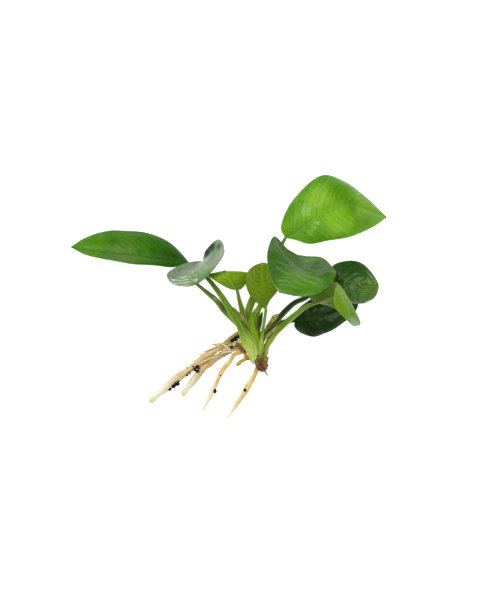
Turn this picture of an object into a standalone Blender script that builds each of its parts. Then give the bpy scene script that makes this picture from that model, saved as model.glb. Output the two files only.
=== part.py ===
"""A bare-root anubias, laid on its side on a flat surface as it comes out of the water.

The plant lies in the X-Y plane with +Z up. Its leaves spread towards +Y and its roots trail
towards -Y. The origin is the middle of the flat patch on which the rhizome rests.
Lengths in the tables below are millimetres and angles are degrees.
"""

import math
from dataclasses import dataclass

import bmesh
import bpy
import numpy as np
from mathutils import Vector

MM = 0.001

GRID_ORIGIN = Vector((1.7, 0, 0))  # the point in the tables that becomes the part's origin

# Driving dimensions
BLADE_THICKNESS = 0.7      # a leaf blade beside its midrib
MIDRIB_DEPTH = 0.75        # how far the midrib stands out under the blade
SHEATH_THICKNESS = 0.4     # a papery sheath, which has no midrib
JOINT_GAP = 0.8            # clearance between a stalk and its blade
STALK_TOP_RADIUS = 0.7     # where a stalk meets its blade
ROWS, SHEATH_ROWS = 14, 6  # mesh rows along a blade and along a sheath
HALF_COLUMNS = 3           # mesh columns on each side of its midrib
STALK_SIDES, STALK_RINGS = 8, 12
ROOT_SIDES, ROOT_RINGS = 8, 18
RHIZOME_SIDES, RHIZOME_RINGS = 16, 16
CURVE_STEPS = 24           # steps between two given points of a smooth curve
FIRST_SIDE = (0.13, 0.21, 0.97)  # no tube starts along it, so it always gives a first side


@dataclass
class Blade:
    """A leaf blade. Left and right are as seen from above it, looking from stalk to tip."""

    base: tuple              # where the stalk joins
    tip: tuple
    midrib: list             # points along the midrib, between base and tip
    left: list               # as many points along the left margin
    right: list              # and along the right one
    crease: float = 0.0      # 1 is a sharp crease along the midrib, 0 is none
    puff: tuple = (0, 0)     # how far each half bulges upwards
    thickness: float = BLADE_THICKNESS
    ridge: float = MIDRIB_DEPTH
    rows: int = ROWS
    colour: tuple = (0.07, 0.2, 0.02)


@dataclass
class Stalk:
    """A round stalk, stem or root: points along its middle, and a radius at each."""

    path: list
    radii: list
    colour: tuple = (0.25, 0.42, 0.06)


def curve_at(points, u):
    """Points of a Catmull-Rom curve at each u, which is 0 at its first given point and 1 at its last."""
    p = np.array(points, float)
    p = np.vstack([2 * p[0] - p[1], p, 2 * p[-1] - p[-2]])
    along = u * (len(points) - 1)
    i = np.minimum(along.astype(int), len(points) - 2)
    t = (along - i)[:, None]
    a, b, c, d = p[i], p[i + 1], p[i + 2], p[i + 3]
    return 0.5 * (2 * b + (c - a) * t + (2 * a - 5 * b + 4 * c - d) * t**2
                  + (3 * b - a - 3 * c + d) * t**3)


def smooth_curve(points, count):
    """count evenly spaced points on a Catmull-Rom curve through the given ones."""
    fine = curve_at(points, np.linspace(0, 1, CURVE_STEPS * (len(points) - 1) + 1))
    walked = np.append(0, np.cumsum(np.linalg.norm(np.diff(fine[:, :3], axis=0), axis=1)))
    stations = np.linspace(0, walked[-1], count)
    return np.column_stack([np.interp(stations, walked, column) for column in fine.T])


def unit(vectors):
    return vectors / np.linalg.norm(vectors, axis=-1, keepdims=True)


def upwards(points):
    """The direction in which the upper side looks, at each point of a blade's grid."""
    across = np.cross(np.gradient(points, axis=0), np.gradient(points, axis=1))
    across[0], across[-1] = across[1], across[-2]
    return unit(across)


def blade_surface(blade, u, v):
    """Points and upward normals of a blade's middle surface, rows along u and columns along v.

    u runs from the stalk, 0, to the tip, 1, and v from the right margin, -1, to the left, 1.
    """
    middle, left, right = (
        curve_at([blade.base, *line, blade.tip], u)[:, None, :]
        for line in (blade.midrib, blade.left, blade.right)
    )
    w = v[None, :, None]
    creased = middle + np.abs(w) * (np.where(w >= 0, left, right) - middle)
    smooth = middle + w * (left - right) / 2 + w**2 * ((left + right) / 2 - middle)
    point = blade.crease * creased + (1 - blade.crease) * smooth
    bulge = np.where(v >= 0, *blade.puff) * 4 * np.abs(v) * (1 - np.abs(v))
    point = point + upwards(point) * (bulge[None, :] * np.sin(math.pi * u)[:, None])[..., None]
    return point, upwards(point)


def add_object(name, mesh, colour, roughness):
    """Links a mesh in metres as one named piece with its own material."""
    material = bpy.data.materials.new(name)
    material.use_nodes = True
    shader = material.node_tree.nodes["Principled BSDF"]
    shader.inputs["Base Color"].default_value = (*colour, 1)
    shader.inputs["Roughness"].default_value = roughness
    shader.inputs["Metallic"].default_value = 0
    mesh.materials.append(material)
    mesh.shade_smooth()
    piece = bpy.data.objects.new(name, mesh)
    bpy.context.scene.collection.objects.link(piece)
    return piece


def mesh_from(name, bm):
    """Turns a bmesh in millimetres into a mesh in metres, with its faces pointing out."""
    bmesh.ops.recalc_face_normals(bm, faces=bm.faces)
    bmesh.ops.translate(bm, vec=-GRID_ORIGIN, verts=bm.verts)
    bmesh.ops.scale(bm, vec=Vector((MM, MM, MM)), verts=bm.verts)
    mesh = bpy.data.meshes.new(name)
    bm.to_mesh(mesh)
    bm.free()
    return mesh


def add_blade(name, blade):
    """A closed lens-shaped solid: thickest at the midrib, and thin at the margin."""
    turns = np.linspace(0, math.pi, blade.rows + 1)
    u = (1 - np.cos(turns)) / 2
    v = np.linspace(-1, 1, 2 * HALF_COLUMNS + 1)
    middle, normal = blade_surface(blade, u, v)
    to_ends = np.sqrt(np.sin(turns))[:, None]
    half_thick = blade.thickness / 2 * np.sqrt(1 - v[None, :] ** 2) * to_ends
    rib = blade.ridge * (v == 0)[None, :] * (1 - u)[:, None] * to_ends
    upper = middle + normal * half_thick[..., None]
    lower = middle - normal * (half_thick + rib)[..., None]

    bm = bmesh.new()
    ends = [bm.verts.new(middle[0, HALF_COLUMNS]), bm.verts.new(middle[-1, HALF_COLUMNS])]
    rims = [[bm.verts.new(middle[i, j]) for j in (0, -1)] for i in range(1, blade.rows)]
    sheets = []
    for points in (upper, lower):
        inner = [[bm.verts.new(p) for p in points[i, 1:-1]] for i in range(1, blade.rows)]
        sheets.append([[rim[0], *row, rim[1]] for rim, row in zip(rims, inner)])
    for rows, flip in zip(sheets, (1, -1)):
        for a, b in zip(rows, rows[1:]):
            for j in range(len(v) - 1):
                bm.faces.new([a[j], a[j + 1], b[j + 1], b[j]][::flip])
        for end, row in ((ends[0], rows[0][::-1]), (ends[1], rows[-1])):
            for j in range(len(v) - 1):
                bm.faces.new([end, row[j], row[j + 1]][::-flip])
    return add_object(name, mesh_from(name, bm), blade.colour, roughness=0.35)


def tube_bmesh(path, radii, sides, rings, lumps=None, floor=None):
    """A closed round tube along a smooth path, optionally lumpy and pressed flat on the floor."""
    line = smooth_curve([list(p) + [r] for p, r in zip(path, radii)], rings)
    centre, radius = line[:, :3], line[:, 3]
    tangent = unit(np.gradient(centre, axis=0))
    side = unit(np.cross(tangent[0], FIRST_SIDE))
    bm = bmesh.new()
    hoops = []
    for i in range(rings):
        side = unit(side - tangent[i] * side.dot(tangent[i]))
        other = np.cross(tangent[i], side)
        hoop = []
        for j in range(sides):
            turn = 2 * math.pi * j / sides
            r = radius[i] * (1 + (lumps(i / (rings - 1), turn) if lumps else 0))
            point = centre[i] + r * (side * math.cos(turn) + other * math.sin(turn))
            if floor is not None:
                point[2] = max(point[2], floor)
            hoop.append(bm.verts.new(point))
        hoops.append(hoop)
    for a, b in zip(hoops, hoops[1:]):
        for j in range(sides):
            k = (j + 1) % sides
            bm.faces.new([a[j], a[k], b[k], b[j]])
    bm.faces.new(hoops[0][::-1])
    bm.faces.new(hoops[-1])
    return bm


def add_stalk(name, stalk):
    bm = tube_bmesh(stalk.path, stalk.radii, STALK_SIDES, STALK_RINGS)
    return add_object(name, mesh_from(name, bm), stalk.colour, roughness=0.4)


def root_lumps(t, turn):
    """How much thicker a root is than its given radius, t of the way along it."""
    return 0.10 * math.sin(17 * t + 1) + 0.05 * math.sin(41 * t)


def add_root(name, root):
    """A root that lies on the surface, swelling and narrowing a little along its length."""
    bm = tube_bmesh(root.path, root.radii, ROOT_SIDES, ROOT_RINGS, root_lumps, floor=0)
    return add_object(name, mesh_from(name, bm), root.colour, roughness=0.5)


def rhizome_knobs(t, turn):
    """The rings of old leaf scars, and the knobs between them."""
    rings = 0.07 * math.sin(6 * math.pi * t)
    knobs = 0.05 * math.sin(3 * turn + 9 * t) + 0.04 * math.cos(5 * turn)
    return rings + knobs


def add_rhizome(name, rhizome):
    """The creeping stem: knobbly, and flat where it rests."""
    bm = tube_bmesh(
        rhizome.path, rhizome.radii, RHIZOME_SIDES, RHIZOME_RINGS, rhizome_knobs, floor=0
    )
    return add_object(name, mesh_from(name, bm), rhizome.colour, roughness=0.6)


# Leaf greens, from the youngest leaf to the oldest
YOUNG = (0.16, 0.28, 0.03)
FRESH = (0.12, 0.33, 0.02)
GROWN = (0.06, 0.2, 0.02)
OLD = (0.02, 0.08, 0.01)

BLADES = {
    "top_leaf": Blade(
        base=(13, 59.5, 15), tip=(63, 70, 3),
        midrib=[(19.5, 63, 19), (27, 68, 22), (35.5, 72.5, 22), (44, 75, 19.5), (53, 73, 12)],
        left=[(11, 65.5, 15), (16.6, 77.8, 15), (30, 89.6, 13.5), (41.5, 87.2, 12), (53.6, 78.4, 8.5)],
        right=[(17.5, 58.5, 18), (24.5, 56.5, 22), (33, 58, 22.5),
               (44, 60, 19), (55.2, 64.7, 11.5)],
        crease=0.35, puff=(1.5, 1.0), colour=FRESH,
    ),
    "long_leaf": Blade(
        base=(-33, 47.5, 12.5), tip=(-91.1, 55.4, 4.5),
        midrib=[(-41, 49, 12.5), (-49.5, 50, 12), (-59.5, 51.5, 11),
                (-70, 52.5, 9.5), (-81.5, 54, 7.5)],
        left=[(-40.5, 45.5, 15), (-48.5, 46.2, 16), (-58.5, 46.8, 16),
              (-71, 48.8, 14), (-82.5, 51.3, 9.5)],
        right=[(-36.6, 52, 9), (-44, 58.6, 6), (-56.5, 63, 3.5), (-72, 63.5, 2.5), (-83, 60.4, 3)],
        crease=0.6, puff=(0.5, 1.5), colour=GROWN,
    ),
    "arched_leaf": Blade(
        base=(-29, 37, 28), tip=(-26.5, 48.5, 18.5),
        midrib=[(-28.5, 39, 28.5), (-28.5, 42, 27.5), (-28, 44.5, 25.5),
                (-27, 46.5, 23), (-26.5, 48, 20.5)],
        left=[(-34.5, 36, 27), (-41, 37.5, 25), (-43.5, 42, 23),
              (-39, 45.5, 21.5), (-32, 48, 20.5)],
        right=[(-24.5, 40.5, 30), (-20.5, 45.5, 33), (-16, 52.5, 33.5),
               (-18.8, 58.6, 28), (-24.8, 53.8, 22)],
        crease=0, colour=GROWN,
    ),
    "small_leaf": Blade(
        base=(-10, 34.5, 24), tip=(-15.5, 41.5, 15),
        midrib=[(-11.5, 37, 27), (-13.5, 40, 29), (-15.5, 43, 27.5),
                (-16, 43, 22.5), (-15.5, 42.5, 18.5)],
        left=[(-8, 35, 25), (-5.5, 38, 27), (-4, 42.5, 27), (-6.5, 42.5, 21), (-11, 41.5, 17)],
        right=[(-13.5, 35, 25.5), (-18.5, 37.5, 28), (-24, 41.5, 25),
               (-21.5, 41.5, 20.5), (-18.5, 41.5, 17)],
        crease=0.3, colour=YOUNG,
    ),
    "young_leaf": Blade(
        base=(3.5, 25, 28), tip=(2, 47.5, 31),
        midrib=[(3, 29.5, 30.5), (3, 33.5, 32.5), (2.5, 37.5, 34), (2, 41.5, 34), (2, 45, 33)],
        left=[(5.5, 29.5, 31), (9, 34, 32.5), (10.5, 38.5, 33.5),
              (9.5, 43.5, 33.5), (6, 46.5, 32.5)],
        right=[(0.5, 27.5, 31), (-3.5, 31, 33), (-6, 37.5, 34), (-5, 43, 33.5), (-2, 46, 32.5)],
        crease=0.2, puff=(-0.5, -0.5), colour=YOUNG,
    ),
    "broad_leaf": Blade(
        base=(18.5, 51, 30), tip=(9.5, 33, 52),
        midrib=[(19, 47.5, 36), (18.5, 44, 41.5), (17, 40.5, 46), (15, 37, 49.5), (13, 35, 51.5)],
        left=[(22.5, 50.5, 31), (30.5, 49.5, 34), (36, 42.5, 42), (31, 34.9, 48), (21, 31.3, 51)],
        right=[(14, 54, 31), (7.4, 59.7, 33), (4, 51.5, 39.5), (5, 42.5, 45.5), (7, 36.5, 50)],
        crease=0, colour=GROWN,
    ),
    "round_leaf": Blade(
        base=(35.5, 39.5, 27.5), tip=(50.5, 28, 22),
        midrib=[(37.5, 38.5, 28.5), (40.5, 37.5, 29), (43.5, 35.5, 28.5),
                (46.5, 33, 27), (49, 30.5, 24.5)],
        left=[(35, 45.5, 25), (42, 48.5, 25.5), (50.9, 46.3, 25), (57.5, 37.7, 23), (55.5, 31, 22)],
        right=[(35.5, 37, 27), (36.5, 33.5, 27), (39, 30, 26.5), (43, 28.5, 25), (47.5, 28, 23)],
        crease=0.4, puff=(1, 0.5), colour=OLD,
    ),
    "folded_leaf": Blade(
        base=(26, 28, 30), tip=(35.5, 25.5, 52.5),
        midrib=[(30, 29.5, 34), (35.5, 31.5, 38.5), (41, 31.5, 44), (39, 29.5, 49.5), (37, 27, 52)],
        left=[(29, 28, 31.5), (35.5, 26, 35), (46.9, 19.7, 43.5),
              (43.8, 17.7, 47.5), (38.5, 22.5, 51)],
        right=[(24, 32.5, 31), (28, 37.5, 36), (36, 38, 43.5), (35, 34, 49.5), (34.5, 30, 52)],
        crease=0.1, colour=FRESH,
    ),
    "dark_leaf": Blade(
        base=(18, 19.5, 5), tip=(49.5, 30, 1.5),
        midrib=[(21.5, 20.5, 6.5), (26.5, 22, 7), (33, 24, 6.5), (39.5, 26.5, 5), (45, 28.5, 3)],
        left=[(18, 22.5, 5.5), (21.5, 27, 5.5), (28, 31.5, 4.5), (37, 34, 3), (45, 33, 1.5)],
        right=[(18, 16.5, 4), (22, 13, 3), (29.5, 12, 2.5), (40, 17.5, 2), (47.5, 24.5, 1.5)],
        crease=0.3, puff=(1, 1), colour=OLD,
    ),
}


STALKS = {
    "long_leaf": Stalk([(-2.4, 0.3, 9.5), (-3, 5.6, 11.5), (-4.8, 10.3, 13.2), (-7.4, 15, 15),
                        (-10.1, 20.2, 16.3), (-13.7, 25.5, 17.2), (-17.2, 31.2, 17.8),
                        (-20.8, 36, 18), (-24.5, 40.5, 17), (-29, 44.5, 14.5)],
                       [1.5, 2.7, 3.3, 2.6, 2.0, 1.6, 1.35, 1.2, 1.1, 1.0]),
    "arched_leaf": Stalk([(-8.5, 17, 6), (-11.5, 20, 7.5), (-16, 24.5, 10.5), (-19.5, 29, 15.5),
                          (-24, 33, 21.5)], [1.4, 1.6, 1.6, 1.4, 1.1]),
    "small_leaf": Stalk([(-4.3, 12.4, 8), (-5.2, 15.3, 9), (-7, 21.1, 11.5), (-7.7, 25, 14),
                         (-8.9, 29.3, 18)], [0.8, 1.0, 1.5, 1.3, 1.0]),
    "top_leaf": Stalk([(-4.3, 15.5, 5), (-5, 19, 6.5), (-5, 23, 8), (-2.5, 30, 9), (2, 39, 11),
                       (8, 49.5, 13)], [1.5, 1.7, 1.9, 1.9, 1.5, 1.2]),
    "broad_leaf": Stalk([(-1.6, 11.4, 9), (-1.9, 16.5, 11.5), (-1, 21.6, 14), (0.2, 25.4, 15.5),
                         (5.5, 34, 19), (13, 43.5, 23), (16.5, 48, 26)],
                        [1.6, 2.0, 1.8, 1.4, 1.3, 1.1, 0.9]),
    "young_leaf": Stalk([(1, 5.5, 12), (1.6, 10.5, 14), (2.3, 15.4, 17), (3, 20.2, 21)],
                        [1.1, 0.9, 0.75, 0.75]),
    "round_leaf": Stalk([(1.5, 9.5, 9), (4, 14, 10), (8.3, 19, 12), (13.2, 24.6, 15),
                         (17.7, 28.6, 19), (22.8, 31, 22.5), (29, 36, 25.5)],
                        [1.3, 1.6, 1.55, 1.45, 1.3, 1.2, 1.1]),
    "folded_leaf": Stalk([(4.2, 3, 8.7), (4.2, 7, 9), (6, 10.5, 10), (9, 14.5, 13), (13.5, 19, 17),
                          (18, 23, 22), (22.5, 26.5, 27)], [0.9, 1.3, 1.6, 1.5, 1.45, 1.3, 1.0]),
    "dark_leaf": Stalk([(3, 11.5, 3.8), (6, 14, 5), (11, 18, 5), (14.5, 19.5, 5)],
                       [1.4, 1.4, 1.6, 1.1]),
}


# Papery sheaths that once wrapped the stalks
TAN = (0.45, 0.36, 0.14)
SHEATHS = {
    "left_sheath": Blade(
        base=(-18.4, 28.4, 18), tip=(-22, 31.7, 22.4),
        midrib=[(-19.2, 29.2, 18.9), (-20, 29.9, 19.8), (-20.9, 30.6, 20.8)],
        left=[(-19.4, 28.6, 18.6), (-20.3, 29.4, 19.6), (-21.1, 30.2, 20.6)],
        right=[(-18.6, 29.6, 18.7), (-19.4, 30.4, 19.7), (-20.5, 31, 20.7)],
        thickness=SHEATH_THICKNESS, ridge=0, rows=SHEATH_ROWS, colour=TAN,
    ),
    "middle_sheath": Blade(
        base=(-3.6, 13.4, 11.6), tip=(-12.2, 26.7, 15.6),
        midrib=[(-5.3, 17, 12.6), (-7.4, 20.4, 13.9), (-10.6, 24.2, 14.9)],
        left=[(-6, 16.5, 12), (-8.2, 19.9, 13.4), (-11, 23.6, 14.2)],
        right=[(-4.3, 16.8, 12.8), (-6.5, 20.9, 14.1), (-9.8, 24.7, 15.2)],
        thickness=SHEATH_THICKNESS, ridge=0, rows=SHEATH_ROWS, colour=TAN,
    ),
    "right_sheath": Blade(
        base=(2.7, 13.4, 12.2), tip=(10.5, 23.5, 15.5),
        midrib=[(4.3, 16.5, 13), (6.3, 19.2, 13.7), (8.2, 21.4, 14.8)],
        left=[(3.8, 17, 12.6), (5.6, 19.9, 13.4), (7.3, 22.5, 14.4)],
        right=[(5, 16.1, 13), (6.9, 18.5, 14), (9, 20.8, 15.2)],
        thickness=SHEATH_THICKNESS, ridge=0, rows=SHEATH_ROWS, colour=TAN,
    ),
    "lower_sheath": Blade(
        base=(2.9, 10.7, 13), tip=(11, 17.8, 16.5),
        midrib=[(4.2, 12.2, 13.6), (6.4, 14.1, 14.4), (8.6, 16, 15.6)],
        left=[(3.5, 12.6, 13.4), (5.7, 14.8, 14.2), (8, 16.6, 15.4)],
        right=[(4.8, 11.9, 13.4), (6.9, 13.7, 14.2), (9, 15.6, 15.4)],
        thickness=SHEATH_THICKNESS, ridge=0, rows=SHEATH_ROWS, colour=TAN,
    ),
}


BROWN = (0.25, 0.1, 0.03)
RHIZOME = Stalk([(2.7, -5.5, 1.6), (2.4, -3.9, 2), (1.6, -0.8, 2.6), (1, 3, 3.1), (-1.5, 7, 3.9),
                 (-5, 10.5, 4.2), (-7, 12, 4.2)], [0.7, 2.2, 3.4, 3.5, 3.9, 3.5, 2.2], BROWN)

CREAM = (0.75, 0.6, 0.36)
GREEN_YELLOW = (0.5, 0.42, 0.05)
ROOTS = {
    "long_root": Stalk([(-9.5, 13.5, 4), (-12.5, 11.5, 4), (-17.5, 7.5, 3.5), (-25.5, 2, 2.5),
                        (-33, -4, 2.2), (-39.5, -8.5, 2.2), (-46.5, -14.5, 1.8), (-53, -20, 1.2)],
                       [1.0, 1.1, 1.3, 1.8, 1.8, 2.1, 1.8, 1.5], CREAM),
    "second_root": Stalk([(-8, 8, 4.5), (-12, 6.2, 4.5), (-15.5, 4.8, 4), (-19.6, 1.8, 2.9),
                          (-23.2, -1, 2.1), (-27, -4.1, 2), (-33, -11.7, 1.6), (-37.1, -17, 1.1)],
                         [0.9, 1.0, 1.1, 1.2, 1.6, 1.8, 1.6, 1.4], CREAM),
    "third_root": Stalk([(-6.2, 4.8, 4), (-8.5, 4.3, 3.8), (-11.5, 3, 3.2), (-13.5, 0, 2),
                         (-17.5, -5, 1.5), (-21, -12.5, 1.2), (-25, -20.5, 1), (-27, -24.5, 0.6)],
                        [0.9, 0.9, 1.0, 1.1, 1.2, 1.1, 0.9, 0.4], CREAM),
    "fourth_root": Stalk([(-0.9, -4.8, 1.8), (-1.1, -6, 1.6), (-3.9, -11, 1.5), (-8.2, -18.1, 1.3),
                          (-10.7, -21.6, 1.1), (-14.8, -28.1, 0.5)],
                         [0.9, 1.1, 1.5, 1.3, 1.1, 0.4], CREAM),
    "root_stub": Stalk([(-4.5, 1.5, 4), (-8, 0, 3.5), (-10.3, -2.4, 2.5)], [0.7, 0.9, 0.95], GREEN_YELLOW),
    "hair_root": Stalk([(4.1, -5.9, 1.9), (4.5, -6.5, 1.7), (5, -7.2, 1.5)], [0.4, 0.35, 0.25],
                       GREEN_YELLOW),
}

# The next leaf, still rolled up
ROLLED_LEAF = Stalk([(0.6, 15, 15.5), (0.6, 17.5, 16.5), (1, 20.5, 18), (2, 24, 20)],
                    [0.4, 1.0, 1.1, 0.3], GROWN)


def main():
    for thing in list(bpy.data.objects):
        bpy.data.objects.remove(thing)
    add_rhizome("rhizome", RHIZOME)
    for name, root in ROOTS.items():
        add_root(name, root)
    add_stalk("rolled_leaf", ROLLED_LEAF)
    for name, sheath in SHEATHS.items():
        add_blade(name, sheath)
    for name, blade in BLADES.items():
        add_blade(name + "_blade", blade)
        stalk = STALKS[name]
        base = Vector(blade.base)
        towards = (base - Vector(stalk.path[-1])).normalized()
        path = stalk.path + [tuple(base - towards * JOINT_GAP)]
        radii = stalk.radii + [STALK_TOP_RADIUS]
        add_stalk(name + "_stalk", Stalk(path, radii, stalk.colour))


main()
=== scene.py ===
"""The looks of a bare-root anubias that lies on its side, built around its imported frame.

Each CAD node is replaced by a finer piece of the same shape: veined and uneven leaf blades,
ridged stalks, papery sheaths, a knobbly rhizome and wrinkled fleshy roots. Small pieces with no
node of their own join them: the crown, the roots' collars, loose fibres and gravel grains.
Lengths are in millimetres, and in metres in the studio. The frame's origin is the place
GRID_ORIGIN of the tables.
"""

import math
from dataclasses import dataclass

import bmesh
import bpy
import numpy as np
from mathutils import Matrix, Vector


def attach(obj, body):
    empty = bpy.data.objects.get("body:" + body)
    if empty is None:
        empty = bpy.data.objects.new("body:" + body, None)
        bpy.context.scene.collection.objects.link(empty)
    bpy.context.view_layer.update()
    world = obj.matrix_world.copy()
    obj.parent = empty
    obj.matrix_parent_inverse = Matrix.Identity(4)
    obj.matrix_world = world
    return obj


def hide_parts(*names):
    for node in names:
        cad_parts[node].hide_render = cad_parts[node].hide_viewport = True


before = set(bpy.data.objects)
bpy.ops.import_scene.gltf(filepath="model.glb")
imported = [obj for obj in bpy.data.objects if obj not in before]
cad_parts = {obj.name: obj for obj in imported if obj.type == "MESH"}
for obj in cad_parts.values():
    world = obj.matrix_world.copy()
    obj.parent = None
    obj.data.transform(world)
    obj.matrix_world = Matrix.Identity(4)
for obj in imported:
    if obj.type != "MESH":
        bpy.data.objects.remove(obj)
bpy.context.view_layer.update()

MM = 0.001
GRID_ORIGIN = np.array([1.7, 0, 0])

# Fineness of the meshes
BLADE_ROWS, BLADE_COLUMNS = 140, 56
STALK_RINGS, STALK_SIDES = 90, 24
ROOT_RINGS, ROOT_SIDES = 190, 36
RHIZOME_RINGS, RHIZOME_SIDES = 130, 96
FIBRE_RINGS, FIBRE_SIDES = 30, 10
GRAIN_RINGS, GRAIN_SIDES = 5, 9
CURVE_STEPS = 24
FIRST_SIDE = (0.13, 0.21, 0.97)  # no tube starts along it
END_SHARE = 0.02      # how much of a round end's area is left where the tube is closed

# Smooth unevenness, added up from sine waves in random directions
WAVES = 6
WAVES_HEIGHT = 4      # which the sum of the waves seldom passes
WAVE_STRETCH = 1.7    # about the length of a random direction

# Leaf relief
BLADE_THICKNESS = 0.55
SHEATH_THICKNESS, SHEATH_RELIEF = 0.2, 0.3
VEINS = 10            # side veins on each half of a blade
VEIN_LEAN = 0.26      # how far towards the tip a side vein has moved at the margin
VEIN_CURVE = 1.3      # the power of the way to the margin that the lean grows with
VEIN_SHIFT = 0.5      # of one half's veins against the other's, as a share of their spacing
VEIN_WANDER = 0.45    # how far a side vein strays, as a share of their spacing
VEIN_WIDTH = 0.35     # as a share of half their spacing
VEIN_DEPTH = 0.04     # of the side veins in a blade that has no quilting
QUILT_SINK = 0.6      # what quilting adds to that depth, as a share of the quilting
QUILT_CHANGE = 1.6    # how much the quilting changes from place to place
UNDERSIDE_VEIN = 0.6  # of a side vein's depth, as it shows on the underside
RIB_GROOVE = 0.3      # depth of the midrib's groove in the upper side of a creased blade
FLAT_GROOVE = 0.3     # how much of it is there in a blade with no crease
GROOVE_WIDTH = 0.5
RIB_RIDGE = 0.95      # height of the midrib under the blade, at the stalk
TIP_RIDGE = 0.15      # and at the tip
RIB_WIDTH = 0.8
WRINKLE_WIDTH = 0.18
WRINKLE_GRID = 3.5, 5          # size of one vein's spacing and of half a blade, for its wrinkles
WRINKLED, WRINKLED_MORE = 0.4, 1.2   # how much of a blade is wrinkled, and how that changes
DENT_SIZE, STRAY_SIZE, QUILT_SIZE, WRINKLE_SIZE, WRINKLED_SIZE = 14, 8, 7, 7, 10

# Swellings of a stalk: a height as a share of its radius, and a place and a width along it
JOINT_HEIGHT, JOINT_PLACE, JOINT_WIDTH = 0.12, 0.93, 0.03
BASE_PLACE, BASE_WIDTH = 0.17, 0.06
WAIST_PLACE, WAIST_WIDTH = 0.3, 0.07
STALK_RIDGES, RIDGE_TWIST = 5, 1.5   # round the stalk, and along it in radians

# Swellings of a root and of the rhizome, as waves: height as a share of the radius, how fast
# each turns along and round it, and its phase. A wave with no phase has a random one
ROOT_LUMPS = [(0.1, 17, 0, 1), (0.05, 41, 0, 0)]
ROOT_DENTS = [(0.04, 23, 3), (0.03, -37, 2)]
FURROW_HEIGHT, FURROW_WAVES, FURROW_BEND = 0.018, 140, 1.5
RHIZOME_KNOBS = [(0.07, 6 * math.pi, 0, 0), (0.05, 9, 3, 0), (0.03, 34, 9, 0), (0.02, -57, 15, 0)]
KNOT, KNOT_FADE = (0.06, 13, 5, 0), (1, 9, 0, 1)  # one wave, and another that it is faded by
SCAR_RINGS, SCAR_HEIGHT = 11, 0.05
RHIZOME_ROUGH = [(0.55, 3.5, 5), (0.3, 1.6, 6)]   # height, size and seed of its unevenness

ROOT_INSIDE = 1.8     # how far a root runs on into the crown
UNDER_BLADE = (0.5, 0.7)       # how deep under the blade's middle a stalk's last two points lie
UNDER_BLADE_RADII = [0.7, 0.35]


# ---------------------------------------------------------------- shapes


@dataclass
class Blade:
    """A leaf blade. Left and right are as seen from above it, looking from stalk to tip."""

    base: tuple              # where the stalk joins
    tip: tuple
    midrib: list             # points along the midrib, between base and tip
    left: list               # as many points along the left margin
    right: list              # and along the right one
    crease: float = 0.0      # 1 is a sharp crease along the midrib, 0 is none
    puff: tuple = (0, 0)     # how far each half bulges upwards, the left one first
    quilt: float = 0.0       # how far the blade swells between its side veins
    dent: float = 0.3        # height of the slow unevenness all over the blade
    wrinkle: float = 0.0     # depth of the few creases that wander out from the midrib


@dataclass
class Stalk:
    """A round stalk, stem or root: points along its middle, and a radius at each."""

    path: list
    radii: list


def curve_at(points, u):
    """Points of a Catmull-Rom curve at each u, from 0 at its first given point to 1 at its last."""
    p = np.array(points, float)
    p = np.vstack([2 * p[0] - p[1], p, 2 * p[-1] - p[-2]])
    along = u * (len(points) - 1)
    i = np.minimum(along.astype(int), len(points) - 2)
    t = (along - i)[:, None]
    a, b, c, d = p[i], p[i + 1], p[i + 2], p[i + 3]
    return 0.5 * (2 * b + (c - a) * t + (2 * a - 5 * b + 4 * c - d) * t**2
                  + (3 * b - a - 3 * c + d) * t**3)


def walked_along(line):
    """The length of a line of points from its first one to each."""
    return np.append(0, np.cumsum(np.linalg.norm(np.diff(line[:, :3], axis=0), axis=1)))


def smooth_curve(points, t):
    """Points of a Catmull-Rom curve at each share t of its length."""
    fine = curve_at(points, np.linspace(0, 1, CURVE_STEPS * (len(points) - 1) + 1))
    walked = walked_along(fine)
    return np.column_stack([np.interp(t * walked[-1], walked, column) for column in fine.T])


def unit(vectors):
    return vectors / np.linalg.norm(vectors, axis=-1, keepdims=True)


def hump(distance, width):
    """1 where the distance is nothing, and smoothly down to nothing a few widths away."""
    return np.exp(-((distance / width) ** 2))


def wave(t, turn, height, along, around, phase):
    """A sine that changes with the place t along a tube and with the turn round it."""
    return height * np.sin(along * t + around * turn + phase)


def upwards(points):
    """The direction in which the upper side looks, at each point of a blade's grid."""
    across = np.cross(np.gradient(points, axis=0), np.gradient(points, axis=1))
    across[0], across[-1] = across[1], across[-2]
    return unit(across)


def blade_surface(blade, u, v):
    """Points, upward normals and distances from the midrib, rows along u and columns along v.

    u runs from the stalk, 0, to the tip, 1, and v from the right margin, -1, to the left, 1.
    """
    middle, left, right = (
        curve_at([blade.base, *line, blade.tip], u)[:, None, :]
        for line in (blade.midrib, blade.left, blade.right)
    )
    w = v[None, :, None]
    creased = middle + np.abs(w) * (np.where(w >= 0, left, right) - middle)
    smooth = middle + w * (left - right) / 2 + w**2 * ((left + right) / 2 - middle)
    point = blade.crease * creased + (1 - blade.crease) * smooth
    bulge = np.where(v >= 0, *blade.puff) * 4 * np.abs(v) * (1 - np.abs(v))
    point = point + upwards(point) * (bulge[None, :] * np.sin(math.pi * u)[:, None])[..., None]
    return point, upwards(point), np.linalg.norm(point - middle, axis=-1)


def unevenness(points, size, seed):
    """A smooth number of about -1 to 1 at each point, that changes over about size millimetres."""
    rng = np.random.default_rng(seed)
    total = np.zeros(points.shape[:-1])
    for _ in range(WAVES):
        direction = rng.normal(size=3)
        phase = rng.uniform(0, 2 * math.pi)
        total += np.sin(points @ direction * (2 * math.pi / size / WAVE_STRETCH) + phase)
    return total / WAVES_HEIGHT


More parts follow.
